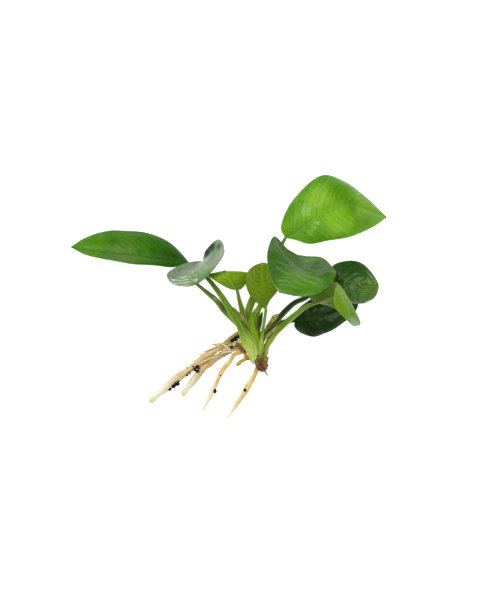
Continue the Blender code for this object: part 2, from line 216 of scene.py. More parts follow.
def skin(name, node, material, rings, ends, facts=None):
    """A closed piece from rings of points in millimetres, with one point closing each end."""
    count, sides = rings.shape[:2]
    index = np.arange(count * sides).reshape(count, sides)
    beside = np.roll(index, -1, 1)
    quads = np.stack([index[:-1], beside[:-1], beside[1:], index[1:]], -1).reshape(-1, 4)
    first, last = count * sides, count * sides + 1
    caps = [[first, b, a] for a, b in zip(index[0], beside[0])]
    caps += [[last, a, b] for a, b in zip(index[-1], beside[-1])]
    points = (np.vstack([rings.reshape(-1, 3), ends]) - GRID_ORIGIN) * MM
    mesh = bpy.data.meshes.new(name)
    mesh.from_pydata(points.tolist(), [], quads.tolist() + caps)
    for fact, values in (facts or {}).items():
        layer = mesh.attributes.new(fact, "FLOAT", "POINT")
        whole = np.broadcast_to(values, (count, sides)).reshape(-1)
        layer.data.foreach_set("value", np.append(whole, [whole[0], whole[-1]]))
    bm = bmesh.new()
    bm.from_mesh(mesh)
    bmesh.ops.recalc_face_normals(bm, faces=bm.faces)
    bm.to_mesh(mesh)
    bm.free()
    mesh.materials.append(material)
    mesh.shade_smooth()
    piece = bpy.data.objects.new(name, mesh)
    bpy.context.scene.collection.objects.link(piece)
    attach(piece, "root")
    if node:
        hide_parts(node)


def tube_rings(stalk, rings, sides, swell=None, floor=None):
    """Rings of points round a smooth path, the two points that close it, and each ring's place.

    The rings stand closer together at the ends, which are round. swell gives how much is added
    to the radius at a place along the tube, as a share of it, and nothing goes below the floor.
    """
    t = (1 - np.cos(np.linspace(0, math.pi, rings))) / 2
    line = smooth_curve([list(p) + [r] for p, r in zip(stalk.path, stalk.radii)], t)
    centre, radius = line[:, :3], line[:, 3]
    walked = walked_along(centre)
    for distance, r in ((walked, radius[0]), (walked[-1] - walked, radius[-1])):
        near = np.clip(distance / r, 0, 1)
        radius = radius * np.sqrt(np.clip(1 - (1 - near) ** 2, END_SHARE, 1))
    tangent = unit(np.gradient(centre, axis=0))
    side = unit(np.cross(tangent[0], FIRST_SIDE))
    turn = np.arange(sides) * 2 * math.pi / sides
    hoops = []
    for i in range(rings):
        side = unit(side - tangent[i] * side.dot(tangent[i]))
        other = np.cross(tangent[i], side)
        r = radius[i] * (1 + (swell(t[i], turn) if swell else 0 * turn))
        hoops.append(
            centre[i] + r[:, None] * (np.outer(np.cos(turn), side) + np.outer(np.sin(turn), other))
        )
    hoops = np.array(hoops)
    if floor is not None:
        hoops[..., 2] = np.maximum(hoops[..., 2], floor)
    return hoops, [hoops[0].mean(0), hoops[-1].mean(0)], t


def shares(count):
    """The share of a whole turn that each of a ring's points has gone."""
    return np.arange(count)[None, :] / count


# ---------------------------------------------------------------- materials

# Numbers between which nearly all of a noise lies
NOISE_RANGE = 0.3, 0.7

GREEN_GLEAM, STALK_GLEAM = (0.75, 1, 0.45, 1), (0.8, 1, 0.4, 1)
BROWN_GLEAM = (1, 0.7, 0.4, 1)
PATCH_SHARE = 0.85    # how much of a leaf's own colour a patch covers
SOIL = (140, 100, 50)
SCAR = (46, 20, 2)
GRIT_DARK, GRIT_PALE = (4, 4, 4), (30, 26, 22)
FRESH_GREEN, FRESH_PALE = (112, 140, 26), (158, 176, 60)


def srgb(colour):
    """A colour given on a scale of 0 to 255, as the linear numbers that shaders take."""
    return tuple((c / 255) ** 2.2 for c in colour) + (1,)


def dimmed(colour, share):
    return tuple(share * c for c in colour)


class Look:
    """A Principled material, and short ways to add the nodes that feed it."""

    def __init__(self, name, **uniform):
        self.material = bpy.data.materials.new(name)
        self.material.use_nodes = True
        self.nodes = self.material.node_tree.nodes
        self.links = self.material.node_tree.links
        self.surface = self.nodes["Principled BSDF"]
        for socket, value in uniform.items():
            self.set(socket.replace("_", " "), value)

    def feed(self, socket, value):
        if isinstance(value, bpy.types.NodeSocket):
            self.links.new(value, socket)
        else:
            socket.default_value = value

    def set(self, socket, value):
        """Feeds a socket of the surface itself."""
        self.feed(self.surface.inputs[socket], value)

    def node(self, kind, inputs, **settings):
        made = self.nodes.new("ShaderNode" + kind)
        for name, value in settings.items():
            setattr(made, name, value)
        for key, value in inputs.items():
            self.feed(made.inputs[key], value)
        return made

    def math(self, operation, a, b=0.0):
        return self.node("Math", {0: a, 1: b}, operation=operation).outputs[0]

    def plus(self, a, b):
        return self.math("ADD", a, b)

    def minus(self, a, b):
        return self.math("SUBTRACT", a, b)

    def times(self, a, b):
        return self.math("MULTIPLY", a, b)

    def off_whole(self, value):
        """How far the value is from the nearest whole number."""
        return self.math("PINGPONG", value, 0.5)

    def between(self, value, low, high, bottom=0.0, top=1.0):
        """bottom where value is under low, top where it is over high, and a smooth step between."""
        ends = {"Value": value, "From Min": low, "From Max": high, "To Min": bottom, "To Max": top}
        return self.node("MapRange", ends, interpolation_type="SMOOTHSTEP").outputs[0]

    def fading(self, value, low, high, top=1.0):
        """top where value is under low, and nothing where it is over high."""
        return self.between(value, low, high, top, 0.0)

    def mix(self, share, a, b, blend="MIX"):
        made = self.node("Mix", {0: share, 6: a, 7: b}, data_type="RGBA", blend_type=blend)
        return made.outputs[2]

    def tint(self, body, colour, share, most=None):
        """The body with a colour laid over it, by the share, of which there is at most so much."""
        return self.mix(self.times(share, most) if most else share, body, srgb(colour))

    def fact(self, name):
        """A number that the mesh holds at each of its points."""
        return self.node("Attribute", {}, attribute_name=name).outputs["Fac"]

    def here(self):
        return self.node("TexCoord", {}).outputs["Object"]

    def noise(self, size, detail=3.0):
        """Noise whose features are about size millimetres."""
        inputs = {"Vector": self.here(), "Scale": 1 / (size * MM), "Detail": detail}
        return self.node("TexNoise", inputs).outputs["Fac"]

    def wander(self, size, low, high):
        """A number that wanders between low and high over about size millimetres."""
        return self.between(self.noise(size), *NOISE_RANGE, low, high)

    def stripes(self, fact, count, wobble, low, high):
        """Soft stripes where the fact, times the count and moved by the wobble, isn't whole."""
        place = self.plus(self.times(self.fact(fact), count), wobble)
        return self.between(self.off_whole(place), low, high)

    def near(self, point, reach):
        """1 at the point of the tables, fading to 0 at reach millimetres from it."""
        spot = tuple((np.array(point) - GRID_ORIGIN) * MM)
        distance = self.node("VectorMath", {0: self.here(), 1: spot}, operation="DISTANCE")
        away = self.times(distance.outputs["Value"], self.wander(5.0, 0.8, 1.2))
        return self.fading(away, 0.25 * reach * MM, reach * MM)

    def relief(self, height, depth, strength):
        """Bump of that depth in millimetres."""
        inputs = {"Height": height, "Distance": depth * MM, "Strength": strength}
        self.set("Normal", self.node("Bump", inputs).outputs[0])

    def finished(self, colour):
        self.set("Base Color", colour)
        return self.material


def leaf_look(name, light, deep, under, rib=None, rim=None, patches=(), dull_shade=(), veins=0.2,
              wet=0.1, gleam=GREEN_GLEAM):
    """A leathery leaf: side veins, midrib, pale rim, and a paler underside.

    The upper side is light where it is fresh and deep where it is old. Each of the patches is a
    place on the blade, its reach in millimetres and its colour: some are the leaf's own lighter or
    darker green, many are painted sheen and painted highlights. The dull ones are patches of
    painted shade, which also don't shine.
    veins is how plainly the veins show, and wet how glossy the blade is.
    """
    look = Look(
        name, Subsurface_Weight=0.1, Subsurface_Radius=(0.4, 0.9, 0.15), Subsurface_Scale=0.0006,
        Specular_Tint=gleam, Coat_Roughness=0.1,
    )
    side = look.math("ABSOLUTE", look.fact("across"))
    left = look.math("GREATER_THAN", look.fact("across"), 0.0)
    lean = look.times(look.math("POWER", side, VEIN_CURVE), VEIN_LEAN)
    count = look.times(look.minus(look.fact("along"), lean), float(VEINS))
    count = look.plus(count, look.times(left, VEIN_SHIFT))
    count = look.plus(count, look.times(look.noise(9.0, 1.0), 0.5))
    off_vein = look.times(look.off_whole(count), 2.0)
    vein = look.fading(off_vein, 0.0, 0.3)
    vein_slope_shade = look.fading(look.math("ABSOLUTE", look.minus(off_vein, 0.45)), 0.0, 0.3)
    fine_veins = look.off_whole(look.times(count, 5.0))
    near_rib = look.fading(look.fact("rib"), 0.15, 0.7)
    at_rim = look.fading(look.fact("inset"), 0.1, 0.55)

    fresh = look.plus(look.noise(16.0, 2.0), look.times(look.fact("along"), 0.25))
    fresh = look.minus(fresh, look.times(look.math("POWER", side, 2.0), 0.2))
    fresh = look.between(fresh, 0.35, 0.75)
    upper = look.mix(fresh, srgb(deep), srgb(light))
    shine = 1.0
    # Patches: some are the leaf's own lighter or darker green, many are painted sheen and painted
    # highlights.
    for place, reach, colour in patches:
        upper = look.tint(upper, colour, look.near(place, reach), PATCH_SHARE)
    # Painted shade: darker patches where the blade turns away from the light, with the shine turned
    # off there.
    for place, reach, colour in dull_shade:
        share = look.times(look.near(place, reach), PATCH_SHARE)
        upper = look.tint(upper, colour, share)
        shine = look.times(shine, look.minus(1.0, share))
    look.set("Specular IOR Level", look.times(shine, 0.2 + 0.6 * wet))
    look.set("Coat Weight", look.times(shine, 0.5 * wet))
    # Painted shade: a darker band along the slopes beside each vein.
    upper = look.tint(upper, dimmed(deep, 0.82), vein_slope_shade, veins)
    upper = look.tint(upper, light, vein, veins)
    if rib:
        upper = look.tint(upper, rib, near_rib, 0.6)

    lower = look.mix(fresh, srgb(under), srgb(dimmed(under, 1.12)))
    lower = look.tint(lower, dimmed(under, 0.8), vein, 0.35)
    lower = look.tint(lower, dimmed(under, 1.2), near_rib, 0.5)
    whole = look.mix(look.fact("under"), upper, lower)
    whole = look.tint(whole, rim or tuple(0.7 * c + 50 for c in light), at_rim, 0.45)
    speckle = look.between(look.noise(0.5, 2.0), 0.3, 0.75, 0.9, 1.08)
    grey = look.node("CombineColor", {0: speckle, 1: speckle, 2: speckle}).outputs[0]
    whole = look.mix(1.0, whole, grey, "MULTIPLY")
    look.set("Roughness", look.wander(4.0, 0.26, 0.42))
    look.relief(look.plus(look.times(fine_veins, 0.8), look.noise(0.45, 2.0)), 0.09, 0.7)
    return look.finished(whole)


def stalk_look(name, base, middle, top, streak, pale_to=0.4, wet=0.25):
    """A green stalk, paler where it leaves the crown, with fine lengthwise streaks."""
    look = Look(
        name, Subsurface_Weight=0.15, Subsurface_Radius=(0.6, 0.9, 0.2), Subsurface_Scale=0.0008,
        Specular_IOR_Level=0.3, Specular_Tint=STALK_GLEAM, Coat_Weight=wet, Coat_Roughness=0.1,
    )
    along = look.fact("along")
    lines = look.stripes("turn", 5.0, look.noise(5.0, 2.0), 0.1, 0.45)
    body = look.mix(look.between(along, pale_to - 0.25, pale_to), srgb(base), srgb(middle))
    body = look.tint(body, top, look.between(along, 0.55, 1.0))
    body = look.tint(body, streak, lines, 0.4)
    body = look.tint(body, base, look.between(look.noise(1.1, 4.0), 0.6, 0.75), 0.3)
    look.set("Roughness", look.wander(3.0, 0.35, 0.5))
    look.relief(look.plus(lines, look.noise(0.5, 2.0)), 0.06, 0.6)
    return look.finished(body)


def root_look(name, flesh, shade, tip, crown, end):
    """A fleshy root: wrinkled and soiled in its older part, and paler towards its tip.

    crown and end are the colours of its two ends.
    """
    look = Look(
        name, Subsurface_Weight=0.25, Subsurface_Radius=(1.0, 0.7, 0.4), Subsurface_Scale=0.0012,
        Coat_Weight=0.1, Coat_Roughness=0.35,
    )
    along = look.fact("along")
    old = look.fading(along, 0.5, 0.85)
    lines = look.times(look.stripes("turn", 7.0, look.noise(6.0, 3.0), 0.05, 0.4), old)
    body = look.mix(look.between(look.noise(3.5, 4.0), 0.35, 0.68), srgb(flesh), srgb(shade))
    body = look.tint(body, tip, look.between(along, 0.56, 0.92))
    body = look.tint(body, shade, lines, 0.25)
    body = look.tint(body, crown, look.fading(along, 0.08, 0.34))
    body = look.tint(body, end, look.between(along, 0.9, 1.0))
    soil = look.times(look.between(look.noise(0.9, 5.0), 0.62, 0.74), old)
    body = look.tint(body, SOIL, soil, 0.35)
    look.set("Roughness", look.wander(2.0, 0.4, 0.6))
    height = look.times(look.plus(look.noise(0.7, 4.0), look.noise(2.4, 2.0)), look.plus(old, 0.3))
    look.relief(look.plus(height, lines), 0.16, 0.7)
    return look.finished(body)


def bark_look(name, dark=(66, 26, 0), pale=(150, 88, 16), green_from=0.45):
    """The rhizome: brown at its old end, green at the crown, with dark rings."""
    look = Look(name, Specular_IOR_Level=0.25, Specular_Tint=BROWN_GLEAM, Coat_Weight=0.6,
                Coat_Roughness=0.1)
    along = look.fact("along")
    fresh = look.plus(along, look.times(look.noise(3.0, 3.0), 0.5))
    cloud = look.between(look.noise(2.2, 5.0), 0.4, 0.62)
    brown = look.mix(cloud, srgb(dark), srgb(pale))
    green = look.mix(cloud, srgb(FRESH_GREEN), srgb(FRESH_PALE))
    body = look.mix(look.between(fresh, green_from, green_from + 0.3), brown, green)
    off_ring = look.off_whole(look.times(along, float(SCAR_RINGS)))
    body = look.tint(body, SCAR, look.fading(off_ring, 0.0, 0.16, 0.6))
    look.set("Roughness", look.wander(1.0, 0.45, 0.75))
    look.relief(look.noise(0.8, 6.0), 0.35, 0.8)
    return look.finished(body)


def papery_look(name, pale, brown):
    """A dry sheath: thin, tan and lined along its length."""
    look = Look(name, Subsurface_Weight=0.2, Subsurface_Radius=(1.0, 0.7, 0.3),
                Subsurface_Scale=0.0008)
    lines = look.stripes("across", 4.0, look.noise(3.0, 3.0), 0.05, 0.4)
    body = look.mix(look.between(look.noise(2.2, 4.0), 0.4, 0.66), srgb(pale), srgb(brown))
    body = look.tint(body, brown, lines, 0.4)
    look.set("Roughness", look.wander(1.0, 0.55, 0.75))
    look.relief(lines, 0.1, 0.6)
    return look.finished(body)


def grit_look(name):
    """Dark gravel grains."""
    look = Look(name, Specular_IOR_Level=0.2)
    body = look.mix(look.between(look.noise(0.5, 3.0), 0.4, 0.7), srgb(GRIT_DARK), srgb(GRIT_PALE))
    look.set("Roughness", look.wander(0.3, 0.4, 0.7))
    look.relief(look.noise(0.25, 3.0), 0.1, 0.8)
    return look.finished(body)


# ---------------------------------------------------------------- the plant


def add_blade(name, node, blade, material, thickness=BLADE_THICKNESS, relief=1.0):
    """A closed blade: its upper side, its rounded margin and its underside in one skin."""
    turns = np.linspace(0, math.pi, BLADE_ROWS + 1)
    u = (1 - np.cos(turns)) / 2
    v = np.sin(np.linspace(-math.pi / 2, math.pi / 2, BLADE_COLUMNS + 1))
    middle, normal, rib = blade_surface(blade, u, v)
    seed = sum(map(ord, name))
    slow = blade.dent * unevenness(middle, DENT_SIZE, seed) * np.abs(v)[None, :]
    middle = middle + normal * (slow * np.sin(turns)[:, None])[..., None]

    lean = VEIN_LEAN * np.abs(v)[None, :] ** VEIN_CURVE
    count = (u[:, None] - lean) * VEINS + VEIN_SHIFT * (v > 0)[None, :]
    count = count + VEIN_WANDER * unevenness(middle, STRAY_SIZE, seed + 1)
    off_vein = 2 * np.abs(count - np.round(count))
    fade = np.sin(turns)[:, None] ** 3 * (1 - v[None, :] ** 6) * np.clip(rib / 2, 0, 1)
    swelling = 1 + QUILT_CHANGE * unevenness(middle, QUILT_SIZE, seed + 2)
    swelling = blade.quilt * swelling * fade * np.cos(math.pi * off_vein + math.pi)
    middle = middle + normal * swelling[..., None]
    sunk = relief * (VEIN_DEPTH + QUILT_SINK * blade.quilt) * fade * hump(off_vein, VEIN_WIDTH)
    spaced, wide = WRINKLE_GRID
    wandering = np.stack([spaced * count, wide * v + 0 * count, 0 * count], -1)
    creased = hump(unevenness(wandering, WRINKLE_SIZE, seed + 3), WRINKLE_WIDTH)
    patchy = unevenness(middle, WRINKLED_SIZE, seed + 4)
    creased *= np.clip(WRINKLED + WRINKLED_MORE * patchy, 0, 1)
    middle = middle - normal * (blade.wrinkle * creased * fade)[..., None]
    ends = np.sqrt(np.sin(turns))[:, None]
    groove = RIB_GROOVE * (FLAT_GROOVE + blade.crease) * hump(rib, GROOVE_WIDTH)
    ridge = (RIB_RIDGE * (1 - u[:, None]) + TIP_RIDGE) * hump(rib, RIB_WIDTH)
    half = thickness / 2 * np.sqrt(1 - v[None, :] ** 8) * ends
    upper = middle + normal * (half - sunk - relief * ends * groove)[..., None]
    lower = middle - normal * (half - UNDERSIDE_VEIN * sunk + relief * ends * ridge)[..., None]

    def loop(on_upper, on_lower):
        """Once round the blade: across its upper side, then back across its underside."""
        return np.concatenate([on_upper[1:-1], on_lower[1:-1, -2:0:-1]], axis=1)

    def both(values):
        values = np.broadcast_to(values, rib.shape)
        return loop(values, values)

    facts = {
        "along": both(u[:, None]),
        "across": both(v),
        "rib": both(rib),
        "inset": both(np.where(v < 0, rib[:, :1], rib[:, -1:]) - rib),
        "under": loop(np.zeros_like(rib), np.ones_like(rib)),
    }
    tips = [middle[0, BLADE_COLUMNS // 2], middle[-1, BLADE_COLUMNS // 2]]
    skin(name, node, material, loop(upper, lower), tips, facts)


def add_stalk(name, node, stalk, material, ridges=0.03, bulge=0.0):
    """A stalk with shallow ridges along it and a slight joint just under the blade.

    The bulge is that of its sheathing base, with a waist of the same share above it.
    """
    def swell(t, turn):
        joint = JOINT_HEIGHT * hump(t - JOINT_PLACE, JOINT_WIDTH)
        base = hump(t - BASE_PLACE, BASE_WIDTH) - hump(t - WAIST_PLACE, WAIST_WIDTH)
        return joint + bulge * base + ridges * np.cos(STALK_RIDGES * turn + RIDGE_TWIST * t)

    rings, ends, t = tube_rings(stalk, STALK_RINGS, STALK_SIDES, swell)
    facts = {"along": t[:, None], "turn": shares(STALK_SIDES)}
    skin(name, node, material, rings, ends, facts)


def add_root(name, node, root, material, seed):
    """A root that lies on the surface, lumpy and faintly wrinkled."""
    bend, side, *phases = np.random.default_rng(seed).uniform(0, 2 * math.pi, 4)

    def swell(t, turn):
        lumps = sum(wave(t, turn, *lump) for lump in ROOT_LUMPS)
        bent = bend + FURROW_BEND * np.sin(2 * turn + side)
        furrows = FURROW_HEIGHT * np.sin(FURROW_WAVES * t + bent)
        return lumps + furrows + sum(
            wave(t, turn, *dent, phase) for dent, phase in zip(ROOT_DENTS, phases)
        )

    first, second = np.array(root.path[:2], float)
    inside = first + ROOT_INSIDE * unit(first - second)
    longer = Stalk([tuple(inside)] + root.path, root.radii[:1] + root.radii)
    rings, ends, t = tube_rings(longer, ROOT_RINGS, ROOT_SIDES, swell, floor=0)
    facts = {"along": t[:, None], "turn": shares(ROOT_SIDES)}
    skin(name, node, material, rings, ends, facts)


def add_rhizome(node, rhizome, material):
    """The creeping stem: knobbly, ringed by old leaf scars, and flat where it rests."""
    def swell(t, turn):
        scars = SCAR_HEIGHT * abs(math.sin(SCAR_RINGS * math.pi * t))
        knot = wave(t, turn, *KNOT) * wave(t, turn, *KNOT_FADE)
        return scars + knot + sum(wave(t, turn, *knob) for knob in RHIZOME_KNOBS)

    rings, ends, t = tube_rings(rhizome, RHIZOME_RINGS, RHIZOME_SIDES, swell, floor=0)
    outwards = unit(rings - rings.mean(1, keepdims=True))
    rough = sum(height * unevenness(rings, size, seed) for height, size, seed in RHIZOME_ROUGH)
    rings = rings + outwards * (rough * np.sin(math.pi * t)[:, None])[..., None]
    rings[..., 2] = np.maximum(rings[..., 2], 0)
    skin("shown_rhizome", node, material, rings, ends, {"along": t[:, None]})


def grain_points(centre, size, seed):
    """An angular grain: a squashed sphere of rings with its corners pushed about."""
    rng = np.random.default_rng(seed)
    tilt = rng.uniform(0.7, 1.2, 3) * size / 2
    turn = 2 * math.pi * np.arange(GRAIN_SIDES) / GRAIN_SIDES
    rings = []
    for level in np.linspace(-0.8, 0.8, GRAIN_RINGS):
        r = math.sqrt(1 - level**2)
        ring = np.column_stack([r * np.cos(turn), r * np.sin(turn), np.full(GRAIN_SIDES, level)])
        rings.append(ring * rng.uniform(0.8, 1.15, (GRAIN_SIDES, 1)) * tilt + centre)
    rings = np.array(rings)
    ends = [rings[0].mean(0) - (0, 0, 0.1 * size), rings[-1].mean(0) + (0, 0, 0.1 * size)]
    return rings, ends


BLADES = {
    "top_leaf": Blade(
        base=(13, 59.5, 15), tip=(63, 70, 3),
        midrib=[(19.5, 63, 19), (27, 68, 22), (35.5, 72.5, 22), (44, 75, 19.5), (53, 73, 12)],
        left=[(11, 65.5, 15), (16.6, 77.8, 15), (30, 89.6, 13.5),
              (41.5, 87.2, 12), (53.6, 78.4, 8.5)],
        right=[(17.5, 58.5, 18), (24.5, 56.5, 22), (33, 58, 22.5),
               (44, 60, 19), (55.2, 64.7, 11.5)],
        crease=0.35, puff=(1.5, 1.0), quilt=0.05,
    ),
    "long_leaf": Blade(
        base=(-33, 47.5, 12.5), tip=(-91.1, 55.4, 4.5),
        midrib=[(-41, 49, 12.5), (-49.5, 50, 12), (-59.5, 51.5, 11),
                (-70, 52.5, 9.5), (-81.5, 54, 7.5)],
        left=[(-40.5, 45.5, 15), (-48.5, 46.2, 16), (-58.5, 46.8, 16),
              (-71, 48.8, 14), (-82.5, 51.3, 9.5)],
        right=[(-36.6, 52, 9), (-44, 58.6, 6), (-56.5, 63, 3.5), (-72, 63.5, 2.5), (-83, 60.4, 3)],
        crease=0.6, puff=(0.5, 1.5), quilt=0.03,
    ),
    "arched_leaf": Blade(
        base=(-29, 37, 28), tip=(-26.5, 48.5, 18.5),
        midrib=[(-28.5, 39, 28.5), (-28.5, 42, 27.5), (-28, 44.5, 25.5),
                (-27, 46.5, 23), (-26.5, 48, 20.5)],
        left=[(-34.5, 36, 27), (-41, 37.5, 25), (-43.5, 42, 23),
              (-39, 45.5, 21.5), (-32, 48, 20.5)],
        right=[(-24.5, 40.5, 30), (-20.5, 45.5, 33), (-16, 52.5, 33.5),
               (-18.8, 58.6, 28), (-24.8, 53.8, 22)],
        crease=0, quilt=0.08, dent=0.6, wrinkle=0.2,
    ),
    "small_leaf": Blade(
        base=(-10, 34.5, 24), tip=(-15.5, 41.5, 15),
        midrib=[(-11.5, 37, 27), (-13.5, 40, 29), (-15.5, 43, 27.5),
                (-16, 43, 22.5), (-15.5, 42.5, 18.5)],
        left=[(-8, 35, 25), (-5.5, 38, 27), (-4, 42.5, 27), (-6.5, 42.5, 21), (-11, 41.5, 17)],
        right=[(-13.5, 35, 25.5), (-18.5, 37.5, 28), (-24, 41.5, 25),
               (-21.5, 41.5, 20.5), (-18.5, 41.5, 17)],
        crease=0.3, quilt=0.1,
    ),
    "young_leaf": Blade(
        base=(3.5, 25, 28), tip=(2, 47.5, 31),
        midrib=[(3, 29.5, 30.5), (3, 33.5, 32.5), (2.5, 37.5, 34), (2, 41.5, 34), (2, 45, 33)],
        left=[(5.5, 29.5, 31), (9, 34, 32.5), (10.5, 38.5, 33.5),
              (9.5, 43.5, 33.5), (6, 46.5, 32.5)],
        right=[(0.5, 27.5, 31), (-3.5, 31, 33), (-6, 37.5, 34), (-5, 43, 33.5), (-2, 46, 32.5)],
        crease=0.2, puff=(-0.5, -0.5), quilt=0.15,
    ),
    "broad_leaf": Blade(
        base=(18.5, 51, 30), tip=(9.5, 33, 52),
        midrib=[(19, 47.5, 36), (18.5, 44, 41.5), (17, 40.5, 46), (15, 37, 49.5), (13, 35, 51.5)],
        left=[(22.5, 50.5, 31), (30.5, 49.5, 34), (36, 42.5, 42), (31, 34.9, 48), (21, 31.3, 51)],
        right=[(14, 54, 31), (7.4, 59.7, 33), (4, 51.5, 39.5), (5, 42.5, 45.5), (7, 36.5, 50)],
        crease=0, quilt=0.06, dent=0.9, wrinkle=0.4,
    ),
    "round_leaf": Blade(
        base=(35.5, 39.5, 27.5), tip=(50.5, 28, 22),
        midrib=[(37.5, 38.5, 28.5), (40.5, 37.5, 29), (43.5, 35.5, 28.5),
                (46.5, 33, 27), (49, 30.5, 24.5)],
        left=[(35, 45.5, 25), (42, 48.5, 25.5), (50.9, 46.3, 25), (57.5, 37.7, 23), (55.5, 31, 22)],
        right=[(35.5, 37, 27), (36.5, 33.5, 27), (39, 30, 26.5), (43, 28.5, 25), (47.5, 28, 23)],
        crease=0.4, puff=(1, 0.5), quilt=0.12, dent=0.6, wrinkle=0.6,
    ),
    "folded_leaf": Blade(
        base=(26, 28, 30), tip=(35.5, 25.5, 52.5),
        midrib=[(30, 29.5, 34), (35.5, 31.5, 38.5), (41, 31.5, 44), (39, 29.5, 49.5), (37, 27, 52)],
        left=[(29, 28, 31.5), (35.5, 26, 35), (46.9, 19.7, 43.5),
              (43.8, 17.7, 47.5), (38.5, 22.5, 51)],
        right=[(24, 32.5, 31), (28, 37.5, 36), (36, 38, 43.5), (35, 34, 49.5), (34.5, 30, 52)],
        crease=0.1, quilt=0.05,
    ),
    "dark_leaf": Blade(
        base=(18, 19.5, 5), tip=(49.5, 30, 1.5),
        midrib=[(21.5, 20.5, 6.5), (26.5, 22, 7), (33, 24, 6.5), (39.5, 26.5, 5), (45, 28.5, 3)],
        left=[(18, 22.5, 5.5), (21.5, 27, 5.5), (28, 31.5, 4.5), (37, 34, 3), (45, 33, 1.5)],
        right=[(18, 16.5, 4), (22, 13, 3), (29.5, 12, 2.5), (40, 17.5, 2), (47.5, 24.5, 1.5)],
        crease=0.3, puff=(1, 1), quilt=0.05, dent=0.5, wrinkle=0.4,
    ),
}

STALKS = {
    "long_leaf": Stalk([(-2.4, 0.3, 9.5), (-3, 5.6, 11.5), (-4.8, 10.3, 13.2), (-7.4, 15, 15),
                        (-10.1, 20.2, 16.3), (-13.7, 25.5, 17.2), (-17.2, 31.2, 17.8),
                        (-20.8, 36, 18), (-24.5, 40.5, 17), (-29, 44.5, 14.5)],
                       [1.5, 2.7, 3.3, 2.6, 2.0, 1.6, 1.35, 1.2, 1.1, 1.0]),
    "arched_leaf": Stalk([(-8.5, 17, 6), (-11.5, 20, 7.5), (-16, 24.5, 10.5), (-19.5, 29, 15.5),
                          (-24, 33, 21.5)], [1.4, 1.6, 1.6, 1.4, 1.1]),
    "small_leaf": Stalk([(-4.3, 12.4, 8), (-5.2, 15.3, 9), (-7, 21.1, 11.5), (-7.7, 25, 14),
                         (-8.9, 29.3, 18)], [0.8, 1.0, 1.5, 1.3, 1.0]),
    "top_leaf": Stalk([(-4.3, 15.5, 5), (-5, 19, 6.5), (-5, 23, 8), (-2.5, 30, 9), (2, 39, 11),
                       (8, 49.5, 13)], [1.5, 1.7, 1.9, 1.9, 1.5, 1.2]),
    "broad_leaf": Stalk([(-1.6, 11.4, 9), (-1.9, 16.5, 11.5), (-1, 21.6, 14), (0.2, 25.4, 15.5),
                         (5.5, 34, 19), (13, 43.5, 23), (16.5, 48, 26)],
                        [1.6, 2.0, 1.8, 1.4, 1.3, 1.1, 0.9]),
    "young_leaf": Stalk([(1, 5.5, 12), (1.6, 10.5, 14), (2.3, 15.4, 17), (3, 20.2, 21)],
                        [1.1, 0.9, 0.75, 0.75]),
    "round_leaf": Stalk([(1.5, 9.5, 9), (4, 14, 10), (8.3, 19, 12), (13.2, 24.6, 15),
                         (17.7, 28.6, 19), (22.8, 31, 22.5), (29, 36, 25.5)],
                        [1.3, 1.6, 1.55, 1.45, 1.3, 1.2, 1.1]),
    "folded_leaf": Stalk([(4.2, 3, 8.7), (4.2, 7, 9), (6, 10.5, 10), (9, 14.5, 13), (13.5, 19, 17),
                          (18, 23, 22), (22.5, 26.5, 27)], [0.9, 1.3, 1.6, 1.5, 1.45, 1.3, 1.0]),
    "dark_leaf": Stalk([(3, 11.5, 3.8), (6, 14, 5), (11, 18, 5), (14.5, 19.5, 5)],
                       [1.4, 1.4, 1.6, 1.1]),
}

# How much wider than the rest a stalk's sheathing base is, as a share of its radius
BULGES = {"long_leaf": 0.16, "round_leaf": 0.08, "folded_leaf": 0.08}

SHEATHS = {
    "left_sheath": Blade(
        base=(-18.4, 28.4, 18), tip=(-22, 31.7, 22.4),
        midrib=[(-19.2, 29.2, 18.9), (-20, 29.9, 19.8), (-20.9, 30.6, 20.8)],
        left=[(-19.4, 28.6, 18.6), (-20.3, 29.4, 19.6), (-21.1, 30.2, 20.6)],
        right=[(-18.6, 29.6, 18.7), (-19.4, 30.4, 19.7), (-20.5, 31, 20.7)],
    ),
    "middle_sheath": Blade(
        base=(-3.6, 13.4, 11.6), tip=(-12.2, 26.7, 15.6),
        midrib=[(-5.3, 17, 12.6), (-7.4, 20.4, 13.9), (-10.6, 24.2, 14.9)],
        left=[(-6, 16.5, 12), (-8.2, 19.9, 13.4), (-11, 23.6, 14.2)],
        right=[(-4.3, 16.8, 12.8), (-6.5, 20.9, 14.1), (-9.8, 24.7, 15.2)],
    ),
    "right_sheath": Blade(
        base=(2.7, 13.4, 12.2), tip=(10.5, 23.5, 15.5),
        midrib=[(4.3, 16.5, 13), (6.3, 19.2, 13.7), (8.2, 21.4, 14.8)],
        left=[(3.8, 17, 12.6), (5.6, 19.9, 13.4), (7.3, 22.5, 14.4)],
        right=[(5, 16.1, 13), (6.9, 18.5, 14), (9, 20.8, 15.2)],
    ),
    "lower_sheath": Blade(
        base=(2.9, 10.7, 13), tip=(11, 17.8, 16.5),
        midrib=[(4.2, 12.2, 13.6), (6.4, 14.1, 14.4), (8.6, 16, 15.6)],
        left=[(3.5, 12.6, 13.4), (5.7, 14.8, 14.2), (8, 16.6, 15.4)],
        right=[(4.8, 11.9, 13.4), (6.9, 13.7, 14.2), (9, 15.6, 15.4)],
    ),
}

RHIZOME = Stalk([(2.7, -5.5, 1.6), (2.4, -3.9, 2), (1.6, -0.8, 2.6), (1, 3, 3.1), (-1.5, 7, 3.9),
                 (-5, 10.5, 4.2), (-7, 12, 4.2)], [0.7, 2.2, 3.4, 3.5, 3.9, 3.5, 2.2])

